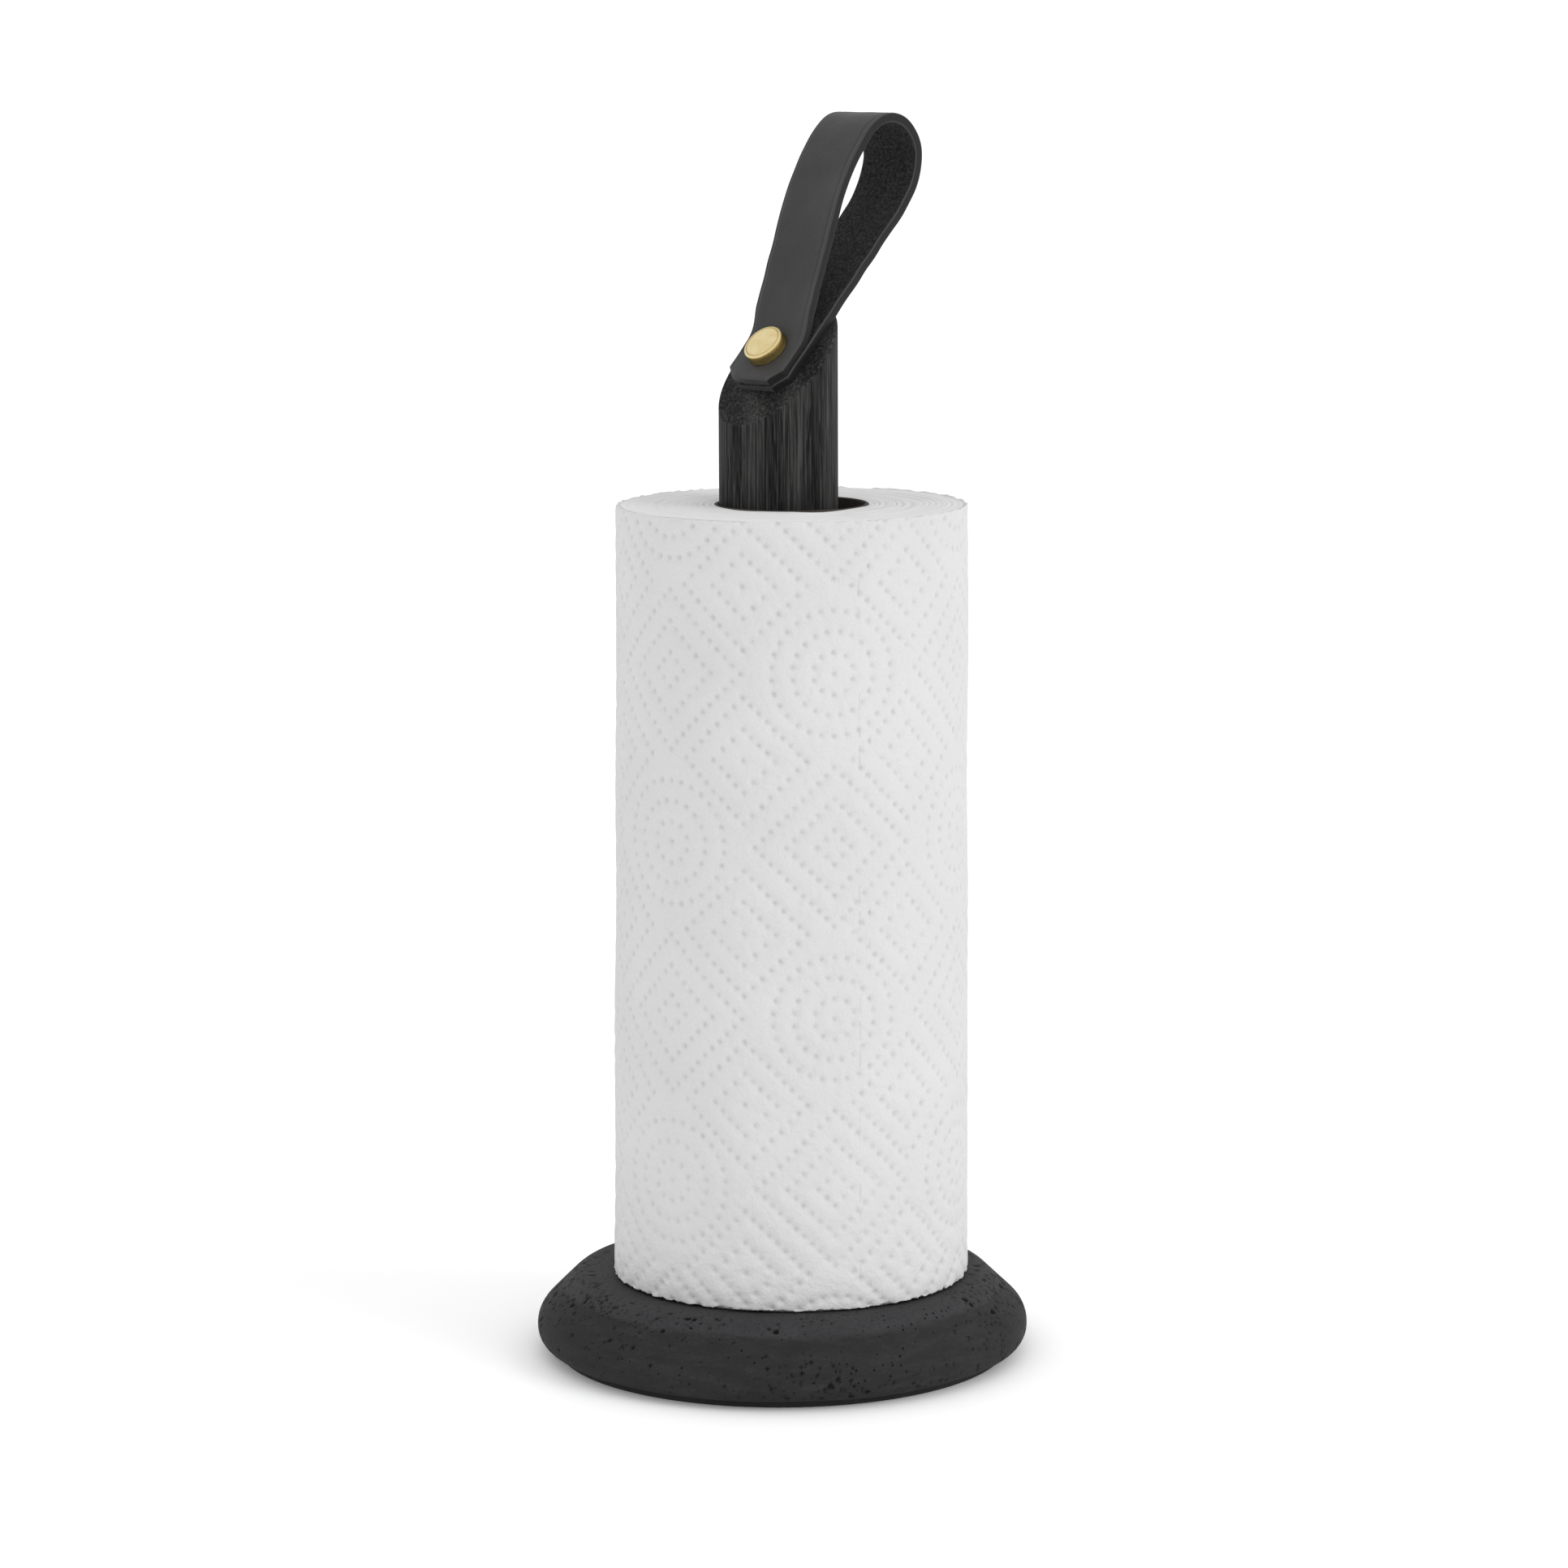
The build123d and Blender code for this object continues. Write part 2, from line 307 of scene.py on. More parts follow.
# %% Floor and light
FLOOR_HALF = 30.0
floor_mesh = bpy.data.meshes.new("floor")
floor_corners = [(x * FLOOR_HALF, y * FLOOR_HALF, 0) for x, y in ((-1, -1), (1, -1), (1, 1), (-1, 1))]
floor_mesh.from_pydata(floor_corners, [], [(0, 1, 2, 3)])
floor = new_object("floor", floor_mesh)
floor_paint, node, shader, at = new_material("floor_lit_white_acrylic", Roughness=0.7, Specular_IOR_Level=0.2,
                                             Emission_Color="#FFFFFF", Emission_Strength=0.08)
cloudy = node("TexNoise", Vector=at, Scale=2.0)
fill(shader, Base_Color=node("ValToRGB", cloudy, stops=[(0.3, "#FDFDFD"), (0.7, "#FFFFFF")]))
floor.data.materials.append(floor_paint)
floor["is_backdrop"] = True

world = bpy.data.worlds.new("studio")
world.use_nodes = True
straight = (add(world.node_tree, "LightPath"), "Is Camera Ray")
tent = add(world.node_tree, "MapRange", straight, 0.0, 1.0, 0.95, 1.1)
fill(world.node_tree.nodes["Background"], Color="#FFFFFF", Strength=tent)
bpy.context.scene.world = world

key = new_object("soft_box", bpy.data.lights.new("soft_box", "SUN"))
key.data.energy = 0.7
key.data.angle = radians(28)
key.rotation_euler = (radians(58), 0, VIEW_TURN + radians(62))
print("floor side, m:", 2 * FLOOR_HALF, "lamp:", key.name)


# %% [markdown]
# The base is a disc cast from dyed concrete, turned from a profile round the middle line: a rounded rim, a
# slope, a flat top, the socket of the post and the bolt's counterbore. The profile is the outline of half a
# slice, from the underside out over the top and down the middle, so the surface closes like a ring.

# %% Base: profile
def arc(centre, radius, start, end, step):
    """Points of an arc in the plane, angles in degrees, about one step apart, without its last point."""
    count = max(2, round(abs(radians(end - start)) * radius / step))
    angle = np.radians(np.linspace(start, end, count, endpoint=False))
    return np.stack([centre[0] + radius * np.cos(angle), centre[1] + radius * np.sin(angle)], 1)


def path(*stops):
    """Points of straight runs through stops (x, y, step), without the last stop, which needs no step. A
    run's points are about the step of its first stop apart."""
    runs = []
    for (x, y, step), (next_x, next_y, *_) in zip(stops, stops[1:]):
        count = max(1, round(np.hypot(next_x - x, next_y - y) / step))
        share = np.linspace(0, 1, count, endpoint=False)[:, None]
        runs.append(np.array((x, y)) * (1 - share) + np.array((next_x, next_y)) * share)
    return np.concatenate(runs)


def turned(profile, columns, x=0.0, y=0.0):
    """Surface of a profile of (radius, height) in mm, turned once round an upright line through x, y in
    metres. The point of row r and column c is (x + radius cos angle, y + radius sin angle, height)."""
    angle = TURN * np.arange(columns) / columns
    radius = profile[:, :1] * MM
    height = np.broadcast_to(profile[:, 1:] * MM, (len(profile), columns))
    return np.stack([x + radius * np.cos(angle), y + radius * np.sin(angle), height], 2)


SLOPE = 44.5                        # of the base's side, in degrees from level
SHOULDER_R = 7.0
COUNTERBORE_R = 14
COUNTERBORE_DEEP = 10.5
BOLT_HOLE_R = 4.5
SOCKET_EDGE = 0.3                   # bevel at the mouth of the post's socket


def base_profile(fine):
    """Outline of half a slice of the base, in mm. The rim is two arcs that touch an upright run, the slope
    touches the upper one, and the shoulder's arc touches the slope and the flat top."""
    radius = base_r / MM
    bottom, top, socket_floor = base_low.z / MM, base_high.z / MM, post_low.z / MM
    slope = radians(SLOPE)
    rim_z, upper_r, lower_r = bottom + 6.3, 8.0, 5.6
    slope_start = (radius - upper_r + upper_r * sin(slope), rim_z + upper_r * cos(slope))
    corner = slope_start[0] - (top - slope_start[1]) / tan(slope)
    run = SHOULDER_R * tan(slope / 2)
    slope_end = (corner + run * cos(slope), top - run * sin(slope))
    socket = (post_r + 0.15 * MM) / MM
    ceiling = bottom + COUNTERBORE_DEEP
    return np.concatenate([
        path((COUNTERBORE_R, bottom, 4.0), (radius - lower_r, bottom)),
        arc((radius - lower_r, bottom + lower_r), lower_r, -90, 0, fine),
        path((radius, bottom + lower_r, fine), (radius, rim_z)),
        arc((radius - upper_r, rim_z), upper_r, 0, 90 - SLOPE, fine),
        path((*slope_start, fine), slope_end),
        arc((corner - run, top - SHOULDER_R), SHOULDER_R, 90 - SLOPE, 90, fine),
        path((corner - run, top, 1.4), (socket + SOCKET_EDGE, top, 0.2), (socket, top - SOCKET_EDGE, 1.2),
             (socket, socket_floor, 3.0), (BOLT_HOLE_R, socket_floor, 2.0), (BOLT_HOLE_R, ceiling, 3.0),
             (COUNTERBORE_R, ceiling, 3.0), (COUNTERBORE_R, bottom)),
    ])


# %% [markdown]
# Poured concrete traps air at the wall of its mould, and the bubbles leave open pits, crowded in some
# places. The larger pits are pressed into the mesh here, each as a bowl. A point attribute remembers how
# deep a point lies, so that the material can paint shade into it. The smallest pits come from the material.

# %% Base: pits and mesh
def outward(points):
    """Unit normals of a grid closed both ways: the cross product of the steps between the neighbours on
    each side, along the columns and along the rows."""
    rows, columns = [np.roll(points, -1, axis) - np.roll(points, 1, axis) for axis in (0, 1)]
    normals = np.cross(columns, rows)
    return normals / np.maximum(np.linalg.norm(normals, axis=2, keepdims=True), 1e-12)


def pressed_pits(points, centres, radii):
    """Depth of round pits at each point: radius times 0.75 times (1 - (distance / radius) squared) to the
    power 0.7, and 0 outside them."""
    flat = points.reshape(-1, 3)
    depth = np.zeros(len(flat))
    for centre, radius in zip(centres, radii):
        near = np.abs(flat - centre).max(axis=1) < radius
        distance = np.linalg.norm(flat[near] - centre, axis=1)
        bowl = np.clip(1 - (distance / radius) ** 2, 0, 1) ** 0.7
        depth[near] = np.maximum(depth[near], 0.75 * radius * bowl)
    return depth.reshape(points.shape[:2])


PITS = 1300
PIT_R, SMALLEST_PIT, LARGEST_PIT = 0.5, 0.38, 1.0

base_points = turned(base_profile(fine=0.5), columns=780)
base_normals = outward(base_points)
reach = np.linalg.norm(base_points[..., :2], axis=2)
open_face = (reach > 56 * MM) & (base_points[..., 2] > 3.5 * MM)
random = np.random.default_rng(11)
crowd = ripple(12, 0.035, *np.moveaxis(base_points, 2, 0)) + random.normal(0, 0.8, reach.shape)
candidates = np.flatnonzero(open_face & (crowd > 0.0))
chosen = random.choice(candidates, PITS, replace=False)
pit_radii = np.exp(random.normal(np.log(PIT_R), 0.28, PITS)).clip(SMALLEST_PIT, LARGEST_PIT) * MM
pit_depth = pressed_pits(base_points, base_points.reshape(-1, 3)[chosen], pit_radii)
unevenness = 0.06 * MM * ripple(13, 0.03, *np.moveaxis(base_points, 2, 0)) * (reach > 20 * MM)
base_points -= (pit_depth + unevenness)[..., None] * base_normals
base_piece = surface("base_casting", base_points, ring_rows=True, ring_columns=True)
pit_store = base_piece.data.attributes.new("pit", "FLOAT", "POINT")
pit_store.data.foreach_set("value", (pit_depth.ravel() / MM).astype(np.float32))
print("pits:", PITS, "deepest, mm:", round(pit_depth.max() / MM, 2))

# %% [markdown]
# Concrete is cement paste with fine sand, dyed through with black oxide. Out of a smooth mould it is matt
# and blotchy, with faint level streaks, small pits as dark dots of painted shade, and sand as the finest
# bump. The flat top and shoulder get painted light, a lighter band.

# %% Material: cast concrete, black-dyed
concrete, node, shader, at = new_material("concrete_cast_black_dyed", Roughness=0.75, IOR=1.5,
                                         Specular_IOR_Level=0.15)
blotch = node("TexNoise", Vector=at, Scale=per_mm(28), Detail=5.0, Roughness=0.6)
level = node("Mapping", Vector=at, Scale=(1, 1, 6))
streak = node("TexNoise", Vector=level, Scale=per_mm(16), Detail=7.0, Roughness=0.75)
tone = node("Math", blotch, 0.5, streak, operation="MULTIPLY_ADD")
smooth_paste = node("ValToRGB", tone, stops=[(0.6, "#262627"), (0.76, "#2B2B2C"), (0.92, "#333334")])
height = (node("SeparateXYZ", at), "Z")
wavy_height = node("Math", streak, 3 * MM, height, operation="MULTIPLY_ADD")
# Painted light: the flat top and shoulder are coloured lighter, as a band set by height.
painted_light_band = node("MapRange", wavy_height, base_high.z - 3.0 * MM, base_high.z - 1.2 * MM, 0.0, 0.55, **SMOOTH)
paste = node("Mix", painted_light_band, smooth_paste, "#464648", **COLOURS)
sand = node("TexNoise", Vector=at, Scale=per_mm(1.1), Detail=3.0, Roughness=0.7)
cells = node("TexVoronoi", Vector=at, Scale=per_mm(2.2))
crowded = node("TexNoise", Vector=at, Scale=per_mm(14), Detail=3.0)
size_here = node("MapRange", crowded, 0.34, 0.6, 0.0, 0.19, **SMOOTH)
past_edge = node("Math", cells, size_here, operation="SUBTRACT")
filled = node("MapRange", past_edge, -0.03, 0.02, **SMOOTH)
# Painted shade: the small pits and the pressed pits are coloured near black.
pressed = node("MapRange", (node("Attribute", attribute_name="pit"), "Fac"), 0.05, 0.5)
speck = node("MapRange", sand, 0.3, 0.7, 0.0, 0.5)
gritty = node("Mix", speck, paste, "#222223", **COLOURS)
painted_dot_shade = node("Mix", filled, "#0B0B0B", gritty, **COLOURS)
fill(shader, Base_Color=node("Mix", pressed, painted_dot_shade, "#0B0B0B", **COLOURS))
grit = node("Bump", Distance=0.18 * MM, Height=sand)
dots = node("Bump", Distance=0.25 * MM, Height=filled, Normal=grit)
fill(shader, Normal=node("Bump", Distance=0.35 * MM, Height=blotch, Normal=dots))
place(base_piece, "holder", "concrete", concrete, "base")


# %% [markdown]
# The post is an oak dowel, cut off at forty-five degrees, with the rim of the cut sanded round. The
# rounding is a ball rolled along inside the corner: its centre runs on a circle smaller by the ball's
# radius, as far under the cut, and at each place the arc turns from straight out to square to the cut.

# %% Post
FOOT_BEVEL = 1.0 * MM
SANDED_R = 0.9 * MM


def post_points(columns, side_rows, rim_rows, cap_rows, ball):
    """Rows from the foot to the middle of the cut. Side: (R cos a, R sin a, z), z from the foot to the ball's
    height. Rim: centre + ball times the direction turned from outward to cut_out. Cap: straight runs."""
    angle = TURN * np.arange(columns) / columns
    out = np.stack([np.cos(angle), np.sin(angle), np.zeros(columns)], 1)
    centre = out * (post_r - ball)
    centre[:, 2] = cut_centre[2] + (-ball - centre @ cut_out) / cut_out[2]
    foot = out[None] * (post_r - FOOT_BEVEL) + [0, 0, post_low.z]
    share = np.linspace(0, 1, side_rows)[:, None]
    side = np.repeat(out[None] * post_r, side_rows, 0)
    side[..., 2] = post_low.z + FOOT_BEVEL + share * (centre[:, 2] - post_low.z - FOOT_BEVEL)
    between = np.arccos(out @ cut_out)
    turn = np.linspace(0, 1, rim_rows)[1:, None]
    first = np.sin((1 - turn) * between) / np.sin(between)
    last = np.sin(turn * between) / np.sin(between)
    rim = centre + ball * (first[..., None] * out + last[..., None] * cut_out)
    inward = np.linspace(1, 0.02, cap_rows)[1:, None, None]
    cap = cut_centre + (rim[-1] - cut_centre) * inward
    return np.concatenate([foot, side, rim, cap])


post_grid = post_points(columns=360, side_rows=90, rim_rows=9, cap_rows=24, ball=SANDED_R)
post_piece = surface("post_dowel", post_grid, ring_columns=True, fans=("first", "last"))

# %% [markdown]
# Oak is ring-porous: each year begins with a band of wide open vessels, long dark pores on the sides of a
# dowel and small dots on a cut end. Black stain soaks into the pores and leaves the hard summer wood
# slightly lighter. A solid pattern on object coordinates, long in z, gives both grains.

# %% Material: oak, black-stained
oak, node, shader, at = new_material("oak_planed_black_stained", Roughness=0.65, IOR=1.5,
                                      Specular_IOR_Level=0.07)
slow_at = node("Mapping", Vector=at, Scale=(1, 1, 0.1))
wander = node("TexNoise", Vector=slow_at, Scale=per_mm(9), Detail=3.0)
shifted = node("VectorMath", (wander, "Color"), (0.005, 0.005, 0.0), at, operation="MULTIPLY_ADD")
quarter = node("Mapping", Vector=shifted, Rotation=(0, 0, radians(-55)))
years = node("TexWave", Vector=quarter, Scale=per_mm(1.8 * 20), bands_direction="X")
fibre_at = node("Mapping", Vector=at, Scale=(1, 1, 0.02))
fibre = node("TexNoise", Vector=fibre_at, Scale=per_mm(0.6), Detail=4.0, Roughness=0.75)
pore_at = node("Mapping", Vector=at, Scale=(1, 1, 0.06))
pores = node("TexVoronoi", Vector=pore_at, Scale=per_mm(0.8))
pore = node("MapRange", pores, 0.2, 0.36, **SMOOTH)
late = node("MapRange", (years, "Fac"), 0.3, 0.6, **SMOOTH)
filled = node("Math", pore, late, operation="MAXIMUM")
hard = node("Math", (years, "Fac"), 0.08, fibre, operation="MULTIPLY_ADD")
stain = node("ValToRGB", hard, stops=[(0.42, "#161616"), (0.54, "#2B2B2B"), (0.68, "#4A4948")])
fill(shader, Base_Color=node("Mix", filled, "#141414", stain, **COLOURS))
grain_bump = node("Bump", Distance=0.25 * MM, Height=fibre)
fill(shader, Normal=node("Bump", Distance=0.2 * MM, Height=filled, Normal=grain_bump))
place(post_piece, "holder", "stained_oak", oak, "post")
print("post top, mm:", round(post_grid[..., 2].max() / MM, 2))

# %% [markdown]
# The strap is one piece of bridle leather. Its line starts under the stud, runs up the cut, turns round in
# a drop-shaped loop, and comes back down on top of its own first end. It is built from corners with a bend
# radius at each. A corner says how far up the cut it lies, and how far out from it.

# %% Strap: line of the loop
STRAP_T = 2.8                       # all in mm here
STRAP_END = 11.2                    # from the stud's middle to the end
STRAP_HALF = (strap_high.x - strap_low.x) / 2 / MM
EDGE_ROUND = 0.55
LOWER = 0.05 + STRAP_T / 2
UPPER = LOWER + STRAP_T + 0.1
LOOP = [(73.0, 4.5), (84.1, 15.5), (71.8, 27.7), (53.5, 26.6)]
LOOP_CORNERS = [(-STRAP_END, LOWER), (64.0, LOWER), *LOOP, (11.0, UPPER), (-STRAP_END, UPPER)]
LOOP_BENDS = [28, 19, 11.6, 11.4, 55, 24]


def rounded_line(corners, bends, step, bell_width):
    """Points of a line through corners in the plane, each rounded by an arc of its bend radius that touches
    both runs, then shared out at equal steps, and averaged with a bell of neighbours, because leather goes
    into a bend slowly. Everything in mm."""
    corners = np.array(corners, float)
    parts = [corners[:1]]
    for before, corner, after, bend in zip(corners, corners[1:], corners[2:], bends):
        come = (corner - before) / np.linalg.norm(corner - before)
        go = (after - corner) / np.linalg.norm(after - corner)
        turn = np.arctan2(come[0] * go[1] - come[1] * go[0], come @ go)
        start = corner - come * bend * tan(abs(turn) / 2)
        inward = np.array([-come[1], come[0]]) * np.sign(turn)
        angle = np.linspace(0, abs(turn), 40)[:, None]
        parts.append(start + bend * (np.sin(angle) * come + (1 - np.cos(angle)) * inward))
    parts.append(corners[-1:])
    points = np.concatenate(parts)
    length = np.concatenate([[0], np.cumsum(np.linalg.norm(np.diff(points, axis=0), axis=1))])
    even = np.linspace(0, length[-1], round(length[-1] / step) + 1)
    points = np.stack([np.interp(even, length, points[:, axis]) for axis in (0, 1)], 1)
    reach = round(2.25 * bell_width / step)
    bell = np.exp(-(np.arange(-reach, reach + 1) * step / bell_width) ** 2)
    before, after = 2 * points[:1] - points[reach:0:-1], 2 * points[-1:] - points[-2:-reach - 2:-1]
    padded = np.concatenate([before, points, after])
    averaged = [np.convolve(padded[:, axis], bell / bell.sum(), "valid") for axis in (0, 1)]
    return np.stack(averaged, 1), even


loop_line, loop_run = rounded_line(LOOP_CORNERS, LOOP_BENDS, step=0.5, bell_width=4.0)
print("strap length, mm:", round(loop_run[-1], 1))

# %% [markdown]
# Along the line goes the strap's section: a flat rounded rectangle, with a fine crease pressed in along
# each edge of the grain side, as a saddler does with a heated tool. Both ends have clipped corners, so the
# section narrows there. The grain side is the outside of the loop.

# %% Strap: mesh
CLIPPED_HALF = 7.0
CREASE_IN, CREASE_DEEP = 1.5, 0.26
LIFT, EDGE_LIFT = 1.5, 1.2


def strap_section(half, thick, round_r):
    """Ring of (across, out) points in mm: a straight flat side, a quarter circle, an edge and a quarter
    circle, and then the same turned half round. The grain side comes first, with negative out."""
    x, y = half - round_r, thick / 2 - round_r
    side = np.linspace(-1, 1, 46) * x
    quarter = np.radians(np.linspace(0, 90, 7))[1:-1]
    half_ring = np.concatenate([
        np.stack([side, np.full(side.shape, thick / 2)], 1),
        np.stack([x + round_r * np.sin(quarter), y + round_r * np.cos(quarter)], 1),
        np.stack([np.full(3, half), np.linspace(y, -y, 3)], 1),
        np.stack([x + round_r * np.cos(quarter), -y - round_r * np.sin(quarter)], 1),
    ])
    return np.concatenate([half_ring, -half_ring]) * (1, -1)


def strap_points(ring):
    """Point = line + across times the width there + out times the line's normal, both with small waves. The
    normal points into the loop, so the grain side has negative out. Above the stud, which holds only the
    strap's middle, the front strand lifts off by LIFT, and at its edges by EDGE_LIFT more, by across
    squared."""
    line3 = cut_centre + MM * (loop_line[:, :1] * cut_up + loop_line[:, 1:] * cut_out)
    tangent = np.gradient(line3, axis=0)
    tangent /= np.linalg.norm(tangent, axis=1, keepdims=True)
    normal = np.cross(cut_side, tangent)
    from_end = loop_run[-1] - loop_run
    to_end = np.minimum(loop_run, from_end)
    half = np.minimum(STRAP_HALF, CLIPPED_HALF + to_end)
    width = (half / STRAP_HALF)[:, None]
    across, out = ring[None, :, 0] * width, ring[None, :, 1].repeat(len(half), 0)
    along = loop_run[:, None]
    edge = np.abs(ring[None, :, 0]) / STRAP_HALF
    from_edge = half[:, None] - np.abs(across)
    crease = CREASE_DEEP * np.exp(-((from_edge - CREASE_IN) / 0.35) ** 2)
    out = out + crease * (ring[None, :, 1] < 0) * soft_step(to_end, 1.0, 3.0)[:, None]
    thin = 1 - 0.25 * np.exp(-to_end / 0.35)[:, None]
    out = out * thin + 0.05 * ripple(21, 9.0, across, along)
    across = across + 0.05 * ripple(22, 12.0, along + 0 * across, out) * edge
    above_stud = (from_end - STRAP_END)[:, None]
    lift = soft_step(above_stud, 3, 15) * (1 - soft_step(above_stud, 12, 72))
    out = out - lift * (from_end < loop_run)[:, None] * (LIFT + EDGE_LIFT * (across / STRAP_HALF) ** 2)
    return line3[:, None] + MM * (across[..., None] * cut_side + out[..., None] * normal[:, None])


section = strap_section(STRAP_HALF, STRAP_T, EDGE_ROUND)
section_steps = np.linalg.norm(np.roll(section, -1, 0) - section, axis=1)
section_run = np.concatenate([[0], np.cumsum(section_steps)])
strap_piece = surface("strap_loop", strap_points(section), ring_columns=True, fans=("first", "last"),
                      across=section_run - STRAP_HALF + EDGE_ROUND, along=loop_run, sharp=60)

# %% [markdown]
# Vegetable tanned leather has a smooth, waxed grain side with a fine pebble, and a rough, duller flesh
# side. The UV map tells them apart: its across value runs round the section, and the grain side comes
# first, then an edge, then the flesh side. The edges are dyed darker. Where they are rounded off, and
# beside the creases, a thin paler line is a painted highlight.

# %% Material: leather, black, vegetable tanned
leather, node, shader, at = new_material("leather_veg_tanned_black", IOR=1.5, Specular_IOR_Level=0.2)
flat = (node("UVMap", uv_map="flat"), "UV")
across = (node("SeparateXYZ", flat), "X")
grain_half = STRAP_HALF - EDGE_ROUND
side_half = STRAP_T / 2 - EDGE_ROUND + EDGE_ROUND * TURN / 4
from_flesh = off(node, across, 2 * grain_half + 2 * side_half)
from_edge = off(node, from_flesh, grain_half + side_half)
on_flesh = node("MapRange", from_flesh, grain_half - 0.2, grain_half + 0.4, 1.0, 0.0)
on_edge = node("MapRange", from_edge, side_half - 0.3, side_half, 1.0, 0.0)
# Painted highlight: thin paler lines where the edges are rounded off and beside the creases.
rounded_off = node("MapRange", off(node, from_edge, side_half - 0.4), 0.1, 0.35, 0.3, 0.0)
beside_crease = off(node, off(node, across, 0.0), STRAP_HALF - CREASE_IN + 0.4)
by_crease = node("MapRange", beside_crease, 0.1, 0.35, 0.25, 0.0)
painted_light_band = node("Math", rounded_off, by_crease, operation="MAXIMUM")
pebble = node("TexVoronoi", Vector=at, Scale=per_mm(0.9), feature="SMOOTH_F1")
wrinkle = node("TexNoise", Vector=at, Scale=per_mm(2.2), Detail=5.0, Roughness=0.65)
cloud = node("TexNoise", Vector=at, Scale=per_mm(18), Detail=3.0)
nap = node("TexNoise", Vector=at, Scale=per_mm(0.9), Detail=4.0, Roughness=0.8)
grain_tone = node("ValToRGB", cloud, stops=[(0.3, "#353536"), (0.7, "#3F3F40")])
flesh_tone = node("ValToRGB", nap, stops=[(0.4, "#141414"), (0.64, "#424243")])
two_sides = node("Mix", on_flesh, grain_tone, flesh_tone, **COLOURS)
edged = node("Mix", on_edge, two_sides, "#1C1C1D", **COLOURS)
fill(shader, Base_Color=node("Mix", painted_light_band, edged, "#6C6C6D", **COLOURS))
fill(shader, Roughness=node("MapRange", on_flesh, 0.0, 1.0, 0.48, 0.92))
pebble_bump = node("Bump", Distance=0.06 * MM, Height=pebble)
wrinkle_bump = node("Bump", Distance=0.12 * MM, Height=wrinkle, Normal=pebble_bump)
rough_height = node("Math", nap, on_flesh, operation="MULTIPLY")
nap_bump = node("Bump", Distance=0.4 * MM, Height=rough_height, Normal=wrinkle_bump)
fill(shader, Normal=nap_bump)
place(strap_piece, "loop", "black_leather", leather, "strap")

# %% [markdown]
# The stud is a turned brass button: a brushed top, a bevelled rim, and a fine straight knurl round its
# side, so that fingers can screw it on. It is a profile turned round the line square to the cut. A narrow
# sleeve goes down through the strap to the wood, with the blind hole for the screw.

# %% Stud
STACK = 5.8 * MM                    # both ends of the strap, with a little air
HEAD_T = 3.4 * MM
STUD_R = 6.3 * MM
SLEEVE_R = 3.2 * MM
KNURLS = 72
GROOVE_R = 5.35 * MM


def stud_points(columns):
    """Point = centre + out times height + radius times the direction at that angle, square to cut_out. The
    radius of the side has a wave, KNURLS to the turn and 0.09 mm deep, that fades out at the lower rim."""
    bevel, hole = 0.5 * MM, 2.05 * MM
    top = STACK + HEAD_T
    profile = np.array([
        (hole, 0.0), (SLEEVE_R, 0.0), (SLEEVE_R, STACK), (STUD_R - 0.2 * MM, STACK),
        (STUD_R, STACK + 0.2 * MM), (STUD_R, STACK + 0.5 * MM), (STUD_R, STACK + 1.2 * MM),
        (STUD_R, STACK + 2.2 * MM),
        (STUD_R, top - bevel - 0.1 * MM), (STUD_R - 0.08 * MM, top - bevel + 0.1 * MM),
        (STUD_R - bevel + 0.08 * MM, top - 0.08 * MM), (STUD_R - bevel - 0.12 * MM, top),
        (GROOVE_R + 0.16 * MM, top), (GROOVE_R, top - 0.12 * MM), (GROOVE_R - 0.16 * MM, top - 0.02 * MM),
        (3.5 * MM, top), (1.5 * MM, top), (0.05 * MM, top),
    ])
    angle = TURN * np.arange(columns) / columns
    height = profile[:, 1:]
    on_side = (profile[:, :1] > STUD_R - 0.01 * MM) * soft_step(height, STACK + 0.2 * MM, STACK + 0.5 * MM)
    radius = profile[:, :1] - 0.045 * MM * (1 + np.cos(KNURLS * angle)) * on_side
    around = np.cos(angle)[:, None] * cut_side + np.sin(angle)[:, None] * cut_up
    return cut_centre + height[..., None] * cut_out + radius[..., None] * around


stud_grid = stud_points(KNURLS * 8)
stud_piece = surface("stud_button", stud_grid, ring_columns=True, fans=("first", "last"), sharp=30)

# %% [markdown]
# Brushing leaves fine parallel scratches on bare brass: a stretched noise, in object coordinates turned to
# lie in the cut. The side is darker with painted shade, and so is a fine turned groove inside the rim. How
# far a point is from the stud's middle line tells where these are.

# %% Material: brass, brushed
brass, node, shader, at = new_material("brass_turned_brushed", Metallic=1.0)
in_cut = node("Mapping", Vector=at, Rotation=(radians(-45), 0, 0), Scale=(0.05, 1, 1))
scratch = node("TexNoise", Vector=in_cut, Scale=per_mm(0.12), Detail=3.0)
tarnish = node("TexNoise", Vector=at, Scale=per_mm(3.5), Detail=3.0)
lifted = node("VectorMath", at, tuple((-cut_centre).tolist()), operation="ADD")
height = (node("VectorMath", lifted, tuple(cut_out.tolist()), operation="DOT_PRODUCT"), "Value")
distance = (node("VectorMath", lifted, operation="LENGTH"), "Value")
distance_squared, height_squared = [node("Math", side, 2.0, operation="POWER") for side in (distance, height)]
apart = node("Math", distance_squared, height_squared, operation="SUBTRACT")
radius = node("Math", apart, 0.5, operation="POWER")
